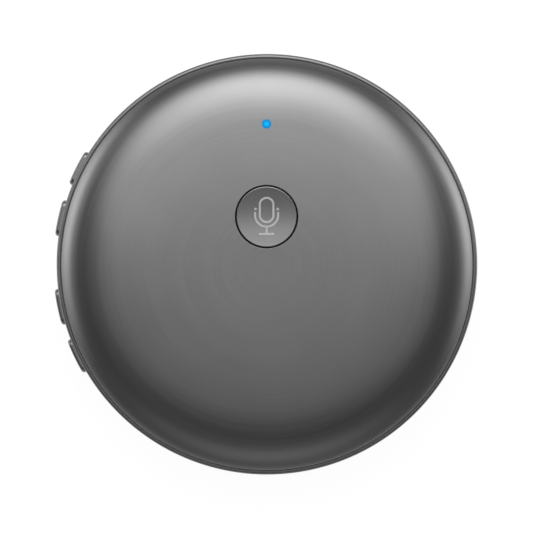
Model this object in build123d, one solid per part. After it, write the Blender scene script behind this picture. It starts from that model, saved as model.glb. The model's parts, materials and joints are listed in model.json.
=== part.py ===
from build123d import *
from math import tau
import os

# A handheld translator: a round metal puck with a dished push-to-talk button, a status light
# above the button and four keys in two pairs on its left rim. Millimetres, +Z up. The origin is
# on the puck's axis, on the plane that its rubber foot stands on. +Y is the status light's side.

# ---- driving dimensions -------------------------------------------------------------------
BODY_R = 38.0  # outer radius of the lower case
CROWN_Z = 16.0  # top of the domed cover
COVER_R = 37.24  # edge of the cover, inside the case's rim
COVER_EDGE_Z = 9.6  # underside of that edge
COVER_LIP = 0.3  # short upright face of the edge, below the dome
COVER_WALL = 1.15
COVER_SKIRT_R = 34.6  # upright inner wall of the cover's edge

CASE_BASE_Z = 0.8  # underside of the case
CASE_WALL = 1.4
CASE_FLAT_R = 29.2  # the flat of the underside ends here
CASE_BAND_Z = 4.9  # the upright band starts here
CASE_RIM_Z = 9.75
CASE_RIM_INNER_R = 37.34
CASE_RIM_ROUND = 0.6

BUTTON_Y = 8.68  # push-to-talk button, on the Y axis
BUTTON_R = 5.4
BUTTON_HOLE_R = 5.68
BUTTON_HOLE_EDGE = 0.16  # chamfer round the hole in the cover
BUTTON_DROP = 0.13  # how far the cap's rim is below the crown
BUTTON_DISH = 0.5
BUTTON_LIP = 0.2  # sloped edge outside the dish
BUTTON_TRAVEL = 0.5

LIGHT_Y = 25.4
LIGHT_R = 0.8
LIGHT_DROP = 1.2  # how far the light's tip is below the crown

KEY_ANGLES = {"volume_up": 153.0, "volume_down": 167.4, "menu": 191.7, "power": 205.8}
KEY_LENGTH = 6.6
KEY_HEIGHT = 2.4
KEY_Z = 6.9
KEY_OUTER_R = 38.7
KEY_EDGE = 0.4  # rounding of the face's edge
KEY_TRAVEL = 0.4

BOARD_R = 33.0
BOARD_Z = 8.4  # underside of the circuit board
BOARD_THICK = 1.0

BATTERY_LENGTH = 39.0
BATTERY_WIDTH = 26.0
BATTERY_Y = 11.0
BATTERY_TOP_Z = 6.6

SPEAKER_R = 10.0
SPEAKER_Y = -13.5
SPEAKER_HEIGHT = 4.2
GRILLE_PITCH = 2.15  # radial step between the rings of sound holes
GRILLE_HOLE_R = 0.5

PORT_SHELL = (8.94, 3.2)  # outside of the charging port's steel shell
PORT_OPENING = (8.34, 2.6)
PORT_DEPTH = 7.35
PORT_INSET = 0.45  # how far the shell's mouth is behind the case's wall

FOOT_INNER_R = 24.5
FOOT_OUTER_R = 28.5
FOOT_SINK = 0.5  # depth of the foot's groove

FIT = 0.05  # clearance of a sliding face at its stop
GAP = 0.15  # clearance round a key
PAST = 1.0  # a cut runs this far past the faces that it opens
FUSE = 0.1  # what is fused to a wall starts this far inside it

# The pull points of a dome's curve: how far out the crown stays level, then the radius of the
# corner that the shoulder bends towards, and how far it is below the crown. The inner ones keep
# each wall even.
COVER_DOME = (26.0, 32.75, 1.7)
COVER_INNER_DOME = (22.5, 30.25, 1.3)
FRAME_DOME = (22.0, 30.0, 1.2)
FRAME_INNER_DOME = (21.0, 29.0, 1.1)

# ---- values worked out from them ------------------------------------------------------------
CASE_INNER_R = BODY_R - CASE_WALL - 0.1
FLOOR_Z = CASE_BASE_Z + CASE_WALL
BOARD_TOP = BOARD_Z + BOARD_THICK
SEAM_LEDGE_Z = CASE_RIM_Z - 0.5
SKIRT_TOP_Z = COVER_EDGE_Z + 1.0
SNAP_Z = COVER_EDGE_Z + 0.6  # the frame's lugs click into the cover here
SNAP_DEPTH = 0.25

FRAME_GAP = 0.15  # between the cover and the frame inside it
FRAME_WALL = 1.1
FRAME_R = COVER_SKIRT_R - FRAME_GAP
FRAME_INNER_R = FRAME_R - FRAME_WALL
FRAME_TOP_Z = COVER_EDGE_Z + 0.9  # the frame's upright wall ends and its dome starts here
RIB_Z = CROWN_Z - 4.6  # lower edge of the frame's ribs
RIB_THICK = 1.0
RIB_RINGS = (14.6, 29.5)  # outer radii of the two round ribs

ANTENNA_R = FRAME_INNER_R
ANTENNA_LOW_Z = 8.8
ANTENNA_TOP_Z = 10.6
ANTENNA_START = 35.0
ANTENNA_SPAN = 50.0

LAND_Z = CROWN_Z - 1.8  # flat land under the cover, which the button's flange stops against
LAND_R = 7.6
CAP_BORE_R = 4.7
BOSS_Z = CROWN_Z - 1.1  # top of the carrier's boss, inside the button's cap
FLANGE_R = 6.6
FLANGE_THICK = 0.7
EAR_SPAN = 14.8  # over the two ears that keep the button from turning
EAR_WIDTH = 1.5
STEM_Z = LAND_Z - 1.9  # the button's stem meets its switch's plunger here
STEM_R = 1.8
PLUNGER_LENGTH = 2.0
PLUNGER_R = 1.7

LIGHT_SEAT_Z = CROWN_Z - 3.6  # the light pipe's flange sits here
LIGHT_FLANGE_R = 1.6
LIGHT_STEM_R = 1.2
LIGHT_TIP_RISE = 0.12  # the domed tip

SCREW_R = (FOOT_INNER_R + FOOT_OUTER_R) / 2  # the case screws' circle
SCREW_ANGLES = (30, 150, 210, 330)
SCREW_SHANK_R = 0.78
SCREW_HEAD_R = 1.5
SCREW_TIP_Z = 10.4
POST_TOP_Z = 5.0  # the case's posts meet the frame's here
POST_R = 2.3
BOARD_SCREWS = ((-13.0, -24.5), (13.0, -24.5), (-9.0, 29.0))
BOARD_SCREW_R = 0.58
BOARD_SCREW_TIP_Z = 11.3

KEY_BACK_R = CASE_INNER_R - 0.8  # back of the flange that keeps a key in
KEY_BOSS_R = 34.05  # a key's boss meets its switch's plunger here
SHOULDER_TIP_R = 32.3  # front of the plunger's shoulder
SHOULDER_DEPTH = 0.6
PLUNGER_LOW_Z = 6.8
PLUNGER_TOP_Z = 7.8

CONE_THICK = 0.15
PORT_Z = BOARD_Z - 1.6  # centre of the charging port
MIC_ANGLES = {"front": 90.0, "rear": 288.0}
MIC_R = 31.0
MIC_PORT_Z = 6.65
MIC_HOLE_R = 0.5
MIC_HEIGHT = 1.0


# ---- small helpers --------------------------------------------------------------------------
def turned(*edges):
    """Revolve a closed outline, drawn as (radius, height), about the puck's axis."""
    return revolve(Plane.XZ * make_face(edges), Axis.Z)


def turned_points(*points):
    return turned(Polyline(*points, close=True))


def disc(radius, low, high):
    return Pos(0, 0, low) * extrude(Circle(radius), high - low)


def ring(outer, inner, low, high):
    return Pos(0, 0, low) * extrude(Circle(outer) - Circle(inner), high - low)


def block(length, width, low, high):
    return Pos(0, 0, low) * Box(length, width, high - low, align=(Align.CENTER, Align.CENTER, Align.MIN))


def rounded_block(length, width, low, high, corner):
    return Pos(0, 0, low) * extrude(RectangleRounded(length, width, corner), high - low)


def at(angle, radius, height=0.0):
    """A place on a circle about the axis, with its local X pointing outwards."""
    return Rot(0, 0, angle) * Pos(radius, 0, height)


def sector(outer, inner, low, high, start, span):
    """Part of a ring, between two angles."""
    middle = Pos((outer + inner) / 2, (low + high) / 2)
    outline = Plane.XZ * (middle * Rectangle(outer - inner, high - low))
    return Rot(0, 0, start) * revolve(outline, Axis.Z, span)


def joined(parts):
    total = Part()
    for part in parts:
        total += part
    return total


def cap_arc(radius, crown_z, rise):
    """Half of a shallow spherical cap's section, from the axis out to its edge."""
    sphere_r = (radius**2 + rise**2) / (2 * abs(rise))
    return RadiusArc((0, crown_z), (radius, crown_z - rise), sphere_r if rise > 0 else -sphere_r)


def strip_along(line, thick):
    """The section of a thin bent strip, from the line along its middle."""
    return make_face(offset(line, thick / 2, kind=Kind.INTERSECTION, side=Side.BOTH))


def dome(crown_z, pulls, edge_r, edge_z):
    """Profile of a dome: nearly level at its crown, then ever steeper down to its edge."""
    reach, shoulder_r, shoulder_drop = pulls
    return Bezier((0, crown_z), (reach, crown_z), (shoulder_r, crown_z - shoulder_drop), (edge_r, edge_z))


# ---- housing --------------------------------------------------------------------------------
def make_top_cover():
    inner_crown = CROWN_Z - COVER_WALL
    dome_edge = COVER_EDGE_Z + COVER_LIP
    shell = turned(
        dome(CROWN_Z, COVER_DOME, COVER_R, dome_edge),
        Polyline((COVER_R, dome_edge), (COVER_R, COVER_EDGE_Z), (COVER_SKIRT_R, COVER_EDGE_Z)),
        Line((COVER_SKIRT_R, COVER_EDGE_Z), (COVER_SKIRT_R, SKIRT_TOP_Z)),
        dome(inner_crown, COVER_INNER_DOME, COVER_SKIRT_R, SKIRT_TOP_Z),
        Line((0, inner_crown), (0, CROWN_Z)),
    )
    land = Pos(0, BUTTON_Y, 0) * disc(LAND_R, LAND_Z, inner_crown + 2 * FUSE)
    snap_groove = ring(COVER_SKIRT_R + SNAP_DEPTH, COVER_SKIRT_R - PAST, SNAP_Z - 0.3, SNAP_Z + 0.3)
    button_hole = Pos(0, BUTTON_Y, 0) * disc(BUTTON_HOLE_R, LAND_Z - PAST, CROWN_Z + PAST)
    cover = shell + land - snap_groove - button_hole
    hole_edges = cover.edges().filter_by(lambda edge: abs(edge.length - tau * BUTTON_HOLE_R) < 0.2)
    cover = chamfer(hole_edges.sort_by(Axis.Z)[-1], BUTTON_HOLE_EDGE)
    light_hole = Pos(0, LIGHT_Y, 0) * disc(LIGHT_R + FIT, COVER_EDGE_Z, CROWN_Z + PAST)
    return cover - light_hole


def frame_skin(crown):
    """The frame's dome, its upright wall and the lip at its foot, which carries the gasket."""
    lip_r = CASE_INNER_R - 0.1
    lip_top, lip_low = SEAM_LEDGE_Z - FIT, 8.65
    inner_crown, inner_top = crown - FRAME_WALL, FRAME_TOP_Z - 0.6
    return turned(
        dome(crown, FRAME_DOME, FRAME_R, FRAME_TOP_Z),
        Polyline((FRAME_R, FRAME_TOP_Z), (FRAME_R, lip_top), (lip_r, lip_top), (lip_r, lip_low)),
        Polyline((lip_r, lip_low), (FRAME_INNER_R, lip_low), (FRAME_INNER_R, inner_top)),
        dome(inner_crown, FRAME_INNER_DOME, FRAME_INNER_R, inner_top),
        Line((0, inner_crown), (0, crown)),
    )


def frame_ribs(crown):
    """Ribs, screw posts, button guide and light collar, cut to the inside of the dome."""
    inside_r, inside_crown, low = FRAME_R - 0.3, crown - 0.3, POST_TOP_Z + FIT
    inside = turned(
        dome(inside_crown, FRAME_DOME, inside_r, FRAME_TOP_Z),
        Polyline((inside_r, FRAME_TOP_Z), (inside_r, low), (0, low), (0, inside_crown)),
    )
    ribs = joined(ring(outer, outer - RIB_THICK, RIB_Z, CROWN_Z) for outer in RIB_RINGS)
    for angle in range(30, 360, 60):
        ribs += at(angle, 23.0) * block(24.0, RIB_THICK, RIB_Z, CROWN_Z)
    ribs += joined(at(angle, SCREW_R) * disc(POST_R, 0, CROWN_Z) for angle in SCREW_ANGLES)
    ribs += joined(Pos(x, y, 0) * disc(1.8, BOARD_TOP, CROWN_Z) for x, y in BOARD_SCREWS)
    ribs += Pos(0, BUTTON_Y, 0) * disc(LAND_R + 1.0, LAND_Z - 2.3, CROWN_Z)
    ribs += Pos(0, LIGHT_Y, 0) * disc(LIGHT_FLANGE_R + 0.7, LIGHT_SEAT_Z - 0.8, CROWN_Z)
    return ribs & inside


def make_inner_frame():
    """Moulded chassis: a ribbed dome nested in the cover, with posts, button guide and lugs."""
    crown = CROWN_Z - COVER_WALL - FRAME_GAP
    frame = frame_skin(crown) + frame_ribs(crown)

    below = RIB_Z - PAST
    well = disc(FLANGE_R + 0.4, below, CROWN_Z) + disc(LAND_R + FRAME_GAP, LAND_Z - FIT, CROWN_Z)
    well += block(EAR_SPAN + 0.6, EAR_WIDTH + 0.3, below, LAND_Z)
    light_well = disc(LIGHT_STEM_R + FIT, below, CROWN_Z)
    light_well += disc(LIGHT_FLANGE_R + 0.1, LIGHT_SEAT_Z, CROWN_Z)
    frame -= Pos(0, BUTTON_Y, 0) * well + Pos(0, LIGHT_Y, 0) * light_well
    for window_start in (37, 157, 217, 277, 337):
        frame -= sector(27.5, 17.0, RIB_Z, CROWN_Z, window_start, 46)
    for angle in SCREW_ANGLES:
        frame -= at(angle, SCREW_R) * disc(SCREW_SHANK_R + 0.02, POST_TOP_Z, SCREW_TIP_Z + 0.5)
    for x, y in BOARD_SCREWS:
        frame -= Pos(x, y, 0) * disc(BOARD_SCREW_R + 0.02, BOARD_TOP - FUSE, BOARD_SCREW_TIP_Z + 0.4)
    recess_low, recess_top = ANTENNA_LOW_Z - 0.2, ANTENNA_TOP_Z + 0.2
    frame -= sector(ANTENNA_R, ANTENNA_R - 1.5, recess_low, recess_top, ANTENNA_START - 1, ANTENNA_SPAN + 2)
    for middle in range(0, 360, 60):
        frame += sector(FRAME_R + GAP, FRAME_R - 0.3, SNAP_Z - 0.2, SNAP_Z + 0.2, middle - 5, 10)
    return frame


def key_slot(angle, margin):
    """The stadium-shaped way of a key through the case wall."""
    slot = Plane.YZ * SlotOverall(KEY_LENGTH + 2 * margin, KEY_HEIGHT + 2 * margin)
    return at(angle, BODY_R - 4.0, KEY_Z) * extrude(slot, 8.0)


def make_lower_case():
    inner_flat_r = CASE_FLAT_R - 0.6
    round_z, round_r = CASE_RIM_Z - CASE_RIM_ROUND, BODY_R - CASE_RIM_ROUND
    shell = turned(
        Line((0, CASE_BASE_Z), (CASE_FLAT_R, CASE_BASE_Z)),
        Bezier((CASE_FLAT_R, CASE_BASE_Z), (35.2, CASE_BASE_Z), (BODY_R, 2.6), (BODY_R, CASE_BAND_Z)),
        Line((BODY_R, CASE_BAND_Z), (BODY_R, round_z)),
        RadiusArc((BODY_R, round_z), (round_r, CASE_RIM_Z), -CASE_RIM_ROUND),
        Polyline((round_r, CASE_RIM_Z), (CASE_RIM_INNER_R, CASE_RIM_Z), (CASE_RIM_INNER_R, SEAM_LEDGE_Z)),
        Polyline((CASE_RIM_INNER_R, SEAM_LEDGE_Z), (CASE_INNER_R, SEAM_LEDGE_Z), (CASE_INNER_R, CASE_BAND_Z)),
        Bezier(
            (CASE_INNER_R, CASE_BAND_Z), (CASE_INNER_R, 3.6), (34.0, FLOOR_Z), (inner_flat_r, FLOOR_Z)
        ),
        Polyline((inner_flat_r, FLOOR_Z), (0, FLOOR_Z), (0, CASE_BASE_Z)),
    )
    case = shell + case_seats()

    case -= ring(FOOT_OUTER_R + 0.1, FOOT_INNER_R - 0.1, CASE_BASE_Z - FUSE, CASE_BASE_Z + FOOT_SINK)
    for angle in SCREW_ANGLES:
        case -= at(angle, SCREW_R) * screw_body(SCREW_SHANK_R + 0.12, SCREW_HEAD_R + 0.12, POST_TOP_Z + FUSE)
    for x, y in grille_holes():
        case -= Pos(x, SPEAKER_Y + y, 0) * disc(GRILLE_HOLE_R, CASE_BASE_Z - PAST, FLOOR_Z + PAST)
    for angle in KEY_ANGLES.values():
        case -= key_slot(angle, GAP)
    port = Plane.XZ * (Pos(0, PORT_Z) * SlotOverall(PORT_SHELL[0] + 0.36, PORT_SHELL[1] + 0.3))
    case -= Pos(0, -BODY_R + 3.0, 0) * extrude(port, 6.0)
    for angle in MIC_ANGLES.values():
        case -= at(angle, BODY_R - 3.0, MIC_PORT_Z) * extrude(Plane.YZ * Circle(MIC_HOLE_R), 6.0)
    return case


def case_seats():
    """What stands on the case's floor: screw posts, the speaker's seat and the battery's corners."""
    seats = joined(at(a, SCREW_R) * disc(POST_R + 0.1, FLOOR_Z - FUSE, POST_TOP_Z) for a in SCREW_ANGLES)
    seats += Pos(0, SPEAKER_Y, 0) * ring(SPEAKER_R + 1.0, SPEAKER_R + GAP, FLOOR_Z - FUSE, 4.2)
    inner_length, inner_width, fence_wall = BATTERY_LENGTH + 0.6, BATTERY_WIDTH + 0.6, 0.8
    outer_length, outer_width = inner_length + 2 * fence_wall, inner_width + 2 * fence_wall
    fence = rounded_block(outer_length, outer_width, FLOOR_Z - FUSE, 3.6, 2.2)
    fence -= rounded_block(inner_length, inner_width, FLOOR_Z - PAST, 3.6 + PAST, 1.6)
    fence -= block(28.0, 40.0, 0, 5) + block(60.0, 14.0, 0, 5)
    return seats + Pos(0, BATTERY_Y, 0) * fence


def grille_holes():
    """Centres of the speaker's holes: one in the middle, then three rings."""
    holes = [(0.0, 0.0)]
    for turn in (1, 2, 3):
        for step in range(6 * turn):
            place = Rot(0, 0, step * 60 / turn) * Pos(GRILLE_PITCH * turn, 0, 0)
            holes.append((place.position.X, place.position.Y))
    return holes


def make_seam_gasket():
    return ring(CASE_RIM_INNER_R - FIT, CASE_INNER_R - 0.1, SEAM_LEDGE_Z, COVER_EDGE_Z)


def make_foot_ring():
    """Rubber ring in the case's groove. Shallow channels let the speaker's sound out under it."""
    edge, top = 0.3, CASE_BASE_Z + FOOT_SINK
    bead = turned_points(
        (FOOT_INNER_R, top), (FOOT_INNER_R, edge), (FOOT_INNER_R + edge, 0),
        (FOOT_OUTER_R - edge, 0), (FOOT_OUTER_R, edge), (FOOT_OUTER_R, top),
    )
    for angle in range(0, 360, 45):
        bead -= at(angle, SCREW_R) * block(6.0, 3.0, -FUSE, 0.45)
    return bead


def screw_body(shank_r, head_r, top):
    """A countersunk screw's outline, from the groove under the case upwards."""
    head_z = CASE_BASE_Z + FOOT_SINK
    neck_z = head_z + (head_r - shank_r)
    return turned_points(
        (0, head_z), (head_r, head_z), (shank_r, neck_z), (shank_r, top), (0, top)
    )


def make_case_screws():
    screw = screw_body(SCREW_SHANK_R, SCREW_HEAD_R, SCREW_TIP_Z)
    screw -= Pos(0, 0, CASE_BASE_Z + FOOT_SINK - FUSE) * extrude(RegularPolygon(0.55, 6), 0.6)
    return [at(angle, SCREW_R) * screw for angle in SCREW_ANGLES]


# ---- circuit board and what it carries -------------------------------------------------------
def make_main_board():
    below, above = BOARD_Z - PAST, BOARD_TOP + PAST
    board = disc(BOARD_R, BOARD_Z, BOARD_TOP)
    for angle in SCREW_ANGLES:
        board -= at(angle, SCREW_R) * disc(POST_R + 0.3, below, above)
    for x, y in BOARD_SCREWS:
        board -= Pos(x, y, 0) * disc(0.75, below, above)
    port_notch = block(PORT_SHELL[0] + 1.56, 3.0, below, above)
    return board - Pos(0, -BOARD_R - 1.0, 0) * port_notch


def make_board_screws():
    head_r, head_edge, head_height, socket_depth = 1.35, 0.25, 0.6, 0.3
    low = BOARD_Z - head_height
    screw = turned_points(
        (0, low), (head_r - head_edge, low), (head_r, low + head_edge), (head_r, BOARD_Z),
        (BOARD_SCREW_R, BOARD_Z), (BOARD_SCREW_R, BOARD_SCREW_TIP_Z), (0, BOARD_SCREW_TIP_Z),
    )
    screw -= Pos(0, 0, low - FUSE) * extrude(RegularPolygon(0.5, 6), socket_depth + FUSE)
    return [Pos(x, y, 0) * screw for x, y in BOARD_SCREWS]


def make_shield_can():
    """Folded sheet can over the processor and memory, with vent holes along one side."""
    length, width, height, sheet = 22.0, 17.0, 1.7, 0.2
    can = rounded_block(length, width, BOARD_TOP, BOARD_TOP + height, 1.2)
    inner_top = BOARD_TOP + height - sheet
    can -= rounded_block(length - 2 * sheet, width - 2 * sheet, BOARD_TOP - FUSE, inner_top, 1.0)
    for step in range(-3, 4):
        can -= Pos(step * 2.6, width / 2 - 2.3, 0) * disc(0.4, BOARD_TOP, BOARD_TOP + height + PAST)
    return Pos(0, -12.0, 0) * can


def make_chip(length, width, height, x, y):
    chip = rounded_block(length, width, BOARD_TOP, BOARD_TOP + height, 0.2)
    return Pos(x, y, 0) * chamfer(chip.edges().group_by(Axis.Z)[-1], 0.1)


def make_inductor():
    """Drum core: two flanges and a waist."""
    flange_r, waist_r, height = 2.0, 1.3, 1.9
    core = turned_points(
        (0, 0), (flange_r, 0), (flange_r, 0.4), (waist_r, 0.6),
        (waist_r, height - 0.6), (flange_r, height - 0.4), (flange_r, height), (0, height),
    )
    return Pos(14.5, 10.5, BOARD_TOP) * core


def make_led_chip():
    lens_z, lens_height = BOARD_TOP + 0.35, 0.3
    lens_top = lens_z + lens_height
    lens = turned_points((0, lens_z), (0.42, lens_z), (0.3, lens_top), (0, lens_top))
    return Pos(0, LIGHT_Y, 0) * (block(1.6, 0.9, BOARD_TOP, lens_z) + lens)


def make_light_pipe():
    """Turned acrylic pin from the light on the board to the cover's surface."""
    tip_z, base_z = CROWN_Z - LIGHT_DROP, BOARD_TOP + 0.8
    flange_top = LIGHT_SEAT_Z + 0.6
    pipe = turned(
        Polyline(
            (0, tip_z), (0, base_z), (0.9, base_z), (1.15, base_z + 0.4),
            (LIGHT_STEM_R, LIGHT_SEAT_Z), (LIGHT_FLANGE_R, LIGHT_SEAT_Z), (LIGHT_FLANGE_R, flange_top),
            (LIGHT_R, flange_top), (LIGHT_R, tip_z - LIGHT_TIP_RISE),
        ),
        cap_arc(LIGHT_R, tip_z, LIGHT_TIP_RISE),
    )
    return Pos(0, LIGHT_Y, 0) * pipe


def make_mic(angle):
    """A microphone hung from the board, its port down."""
    low = BOARD_Z - MIC_HEIGHT
    can = rounded_block(2.65, 3.5, low, BOARD_Z, 0.25) - disc(0.3, low - PAST, low + 0.4)
    return at(angle, MIC_R) * can


def make_mic_boot(angle):
    """Rubber elbow that leads the sound from the case's pin-hole to the microphone."""
    low, width, corner = 5.8, 4.4, 0.8
    boot = Pos(1.9, 0, 0) * rounded_block(6.9, width, low, BOARD_Z - MIC_HEIGHT, corner)
    boot += Pos(4.0, 0, 0) * rounded_block(3.2, width, low, BOARD_Z - 0.2, corner)
    boot = at(angle, MIC_R) * boot & disc(CASE_INNER_R, low - PAST, BOARD_Z)
    boot -= at(angle, MIC_R) * disc(MIC_HOLE_R, MIC_PORT_Z, BOARD_Z)
    boot -= at(angle, MIC_R - MIC_HOLE_R, MIC_PORT_Z) * extrude(Plane.YZ * Circle(MIC_HOLE_R), 8.0)
    return boot


def make_usb_port():
    """Drawn-steel shell of the charging port, with its two rear feet."""
    sheet = (PORT_SHELL[1] - PORT_OPENING[1]) / 2
    shell = extrude(Plane.XZ * SlotOverall(*PORT_SHELL), PORT_DEPTH)
    shell -= Pos(0, -0.8, 0) * extrude(Plane.XZ * SlotOverall(*PORT_OPENING), PORT_DEPTH)
    feet = Pos(0, -1.2, 1.0) * Box(10.0, 1.0, 1.2)
    feet -= extrude(Plane.XZ * SlotOverall(PORT_SHELL[0] - sheet / 2, PORT_SHELL[1] - sheet / 2), PORT_DEPTH)
    return Pos(0, -BODY_R + PORT_INSET + PORT_DEPTH, PORT_Z) * (shell + feet)


def make_usb_tongue():
    base_depth = 1.4
    tongue = Box(6.69, 4.8, 0.7)
    tongue = fillet(tongue.edges().filter_by(Axis.Z), 0.3)
    base = extrude(Plane.XZ * SlotOverall(*PORT_OPENING), base_depth)
    return Pos(0, -BODY_R + 7.0, PORT_Z) * (base + Pos(0, -3.7, 0) * tongue)


def make_antenna():
    """Foil strip in the frame's recess, beside the seam, where the metal lets radio through."""
    return sector(ANTENNA_R, ANTENNA_R - 0.2, ANTENNA_LOW_Z, ANTENNA_TOP_Z, ANTENNA_START, ANTENNA_SPAN)


def make_antenna_contact():
    """Bent spring leaf from the board to the antenna."""
    thick = 0.2
    foot_z = BOARD_TOP + thick / 2
    leaf = Polyline((-3.4, foot_z), (-1.6, foot_z), (-1.0, foot_z + 0.6), (0, foot_z + 0.7))
    strip = Plane.XZ * strip_along(leaf, thick)
    middle = ANTENNA_START + ANTENNA_SPAN / 2
    return at(middle, ANTENNA_R - 0.34) * extrude(strip, 0.75, both=True)


# ---- power -----------------------------------------------------------------------------------
FLEX_X = 7.5
PAD_THICK = 0.2


def make_battery():
    pouch = rounded_block(BATTERY_LENGTH, BATTERY_WIDTH, FLOOR_Z + PAD_THICK, BATTERY_TOP_Z, 1.4)
    pouch = fillet(pouch.faces().sort_by(Axis.Z)[-1].edges(), 0.7)
    return Pos(0, BATTERY_Y, 0) * pouch


def make_battery_pad():
    return Pos(0, BATTERY_Y, 0) * rounded_block(30.0, 18.0, FLOOR_Z, FLOOR_Z + PAD_THICK, 1.0)


def make_battery_flex():
    """Flat flex from the battery's end, turned up to the connector under the board."""
    run = FilletPolyline((24.1, 5.6), (25.2, 5.6), (25.9, 7.2), (28.4, 7.2), radius=0.5)
    return Pos(FLEX_X, 0, 0) * extrude(Plane.YZ * strip_along(run, 0.16), 2.0, both=True)


def make_battery_connector():
    plug = rounded_block(5.6, 2.4, 7.28, BOARD_Z, 0.3)
    return Pos(FLEX_X, 27.2, 0) * plug


# ---- sound -----------------------------------------------------------------------------------
MESH_THICK = 0.1
SPEAKER_LOW_Z = FLOOR_Z + 0.5  # mesh and gasket are under the speaker
SPEAKER_TOP_Z = SPEAKER_LOW_Z + SPEAKER_HEIGHT


def make_speaker():
    """Stepped basket with its magnet housing on top. It is open below, where the cone is."""
    low, mouth_r, magnet_r = SPEAKER_LOW_Z, 8.3, 6.6
    basket = turned_points(
        (mouth_r, low), (SPEAKER_R, low), (SPEAKER_R, low + 0.9), (9.6, low + 1.2),
        (8.6, low + 2.6), (magnet_r, low + 2.6), (magnet_r, SPEAKER_TOP_Z), (0, SPEAKER_TOP_Z),
        (0, low + 2.0), (magnet_r + 0.3, low + 2.0), (mouth_r, low + 1.0),
    )
    return Pos(0, SPEAKER_Y, 0) * basket


def cone_section(low):
    """Domed middle, straight flank and half-round surround."""
    return (
        cap_arc(3.4, low + 0.9, 0.8),
        Line((3.4, low + 0.1), (6.2, low + 0.55)),
        ThreePointArc((6.2, low + 0.55), (7.25, low), (8.3, low + 0.55)),
    )


def make_speaker_cone():
    low = SPEAKER_LOW_Z + 0.25
    cone = turned(
        *cone_section(low),
        Line((8.3, low + 0.55), (8.3, low + 0.55 + CONE_THICK)),
        *cone_section(low + CONE_THICK),
        Line((0, low + 0.9 + CONE_THICK), (0, low + 0.9)),
    )
    return Pos(0, SPEAKER_Y, 0) * cone


def make_speaker_gasket():
    return Pos(0, SPEAKER_Y, 0) * ring(SPEAKER_R, 8.4, FLOOR_Z + MESH_THICK, SPEAKER_LOW_Z)


def make_speaker_mesh():
    return Pos(0, SPEAKER_Y, 0) * disc(SPEAKER_R, FLOOR_Z, FLOOR_Z + MESH_THICK)


def make_speaker_contacts():
    """Two sprung leaves that touch the pads under the board."""
    thick = 0.2
    foot_z, pad_z = SPEAKER_TOP_Z + thick / 2, BOARD_Z - thick / 2
    leaf = FilletPolyline((-2.0, foot_z), (2.0, foot_z), (2.4, 7.9), (-1.2, pad_z), radius=0.2)
    strip = extrude(Plane.XZ * strip_along(leaf, thick), 0.6, both=True)
    return [Pos(x, SPEAKER_Y, 0) * strip for x in (-3.0, 3.0)]


# ---- push-to-talk button ----------------------------------------------------------------------
def make_mic_button():
    """Dished metal cap. Its hollow underside takes the carrier's boss."""
    top, dish_r = CROWN_Z - BUTTON_DROP, BUTTON_R - BUTTON_LIP
    cap = turned(
        cap_arc(dish_r, top - BUTTON_DISH, -BUTTON_DISH),
        Line((dish_r, top), (BUTTON_R, top - BUTTON_LIP)),
        Polyline((BUTTON_R, top - BUTTON_LIP), (BUTTON_R, LAND_Z), (CAP_BORE_R, LAND_Z)),
        Polyline((CAP_BORE_R, LAND_Z), (CAP_BORE_R, BOSS_Z), (0, BOSS_Z), (0, top - BUTTON_DISH)),
    )
    return Pos(0, BUTTON_Y, 0) * cap


def make_mic_button_carrier():
    """Moulded boss and flange. Two ears keep the button from turning."""
    flange_top = LAND_Z - FIT
    flange_low = flange_top - FLANGE_THICK
    carrier = disc(FLANGE_R, flange_low, flange_top) + disc(CAP_BORE_R, flange_low, BOSS_Z)
    carrier += block(EAR_SPAN, EAR_WIDTH, flange_low, flange_top)
    carrier += disc(STEM_R, STEM_Z, flange_top)
    for angle in range(45, 360, 90):
        web = Pos(3.4, 0, 0) * block(4.4, 0.8, STEM_Z + 0.4, flange_top - 0.3)
        carrier += Rot(0, 0, angle) * web
    return Pos(0, BUTTON_Y, 0) * carrier


def make_main_switch():
    size = 6.2
    floor_z = STEM_Z - PLUNGER_LENGTH - BUTTON_TRAVEL - FIT
    switch = rounded_block(size, size, BOARD_TOP, STEM_Z - 0.9, 0.5)
    switch -= disc(PLUNGER_R + FIT, floor_z, STEM_Z)
    for x in (-3.3, 3.3):
        for y in (-2.2, 2.2):
            switch += Pos(x, y, 0) * block(0.9, 0.7, BOARD_TOP, BOARD_TOP + 0.8)
    return Pos(0, BUTTON_Y, 0) * switch


def make_main_switch_plunger():
    low, edge = STEM_Z - PLUNGER_LENGTH, 0.2
    plunger = turned_points(
        (0, low), (PLUNGER_R, low), (PLUNGER_R, STEM_Z - edge), (PLUNGER_R - edge, STEM_Z), (0, STEM_Z)
    )
    return Pos(0, BUTTON_Y, 0) * plunger


# ---- side keys ---------------------------------------------------------------------------------
def make_side_key(angle):
    """Metal key: a stadium face in the wall, a flange behind it and a boss to its switch."""
    start_r = KEY_BACK_R - PAST
    stub = Pos(start_r, 0, KEY_Z) * extrude(Plane.YZ * SlotOverall(KEY_LENGTH, KEY_HEIGHT), 5.0)
    face = stub & ring(KEY_OUTER_R, KEY_BACK_R, 0, CROWN_Z)
    face = fillet(face.faces().sort_by(Axis.X)[-1].edges(), KEY_EDGE)
    flange = Plane.YZ * RectangleRounded(KEY_LENGTH + 1.4, KEY_HEIGHT + 0.8, 1.2)
    flange = Pos(start_r, 0, KEY_Z) * extrude(flange, 3.0)
    flange = flange & ring(CASE_INNER_R - FIT, KEY_BACK_R, 0, CROWN_Z)
    boss_length = KEY_BACK_R + 0.3 - KEY_BOSS_R
    boss = Pos(KEY_BOSS_R + boss_length / 2, 0, KEY_Z + 0.4) * Box(boss_length, 2.0, 1.0)
    return Rot(0, 0, angle) * (face + flange + boss)


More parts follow.
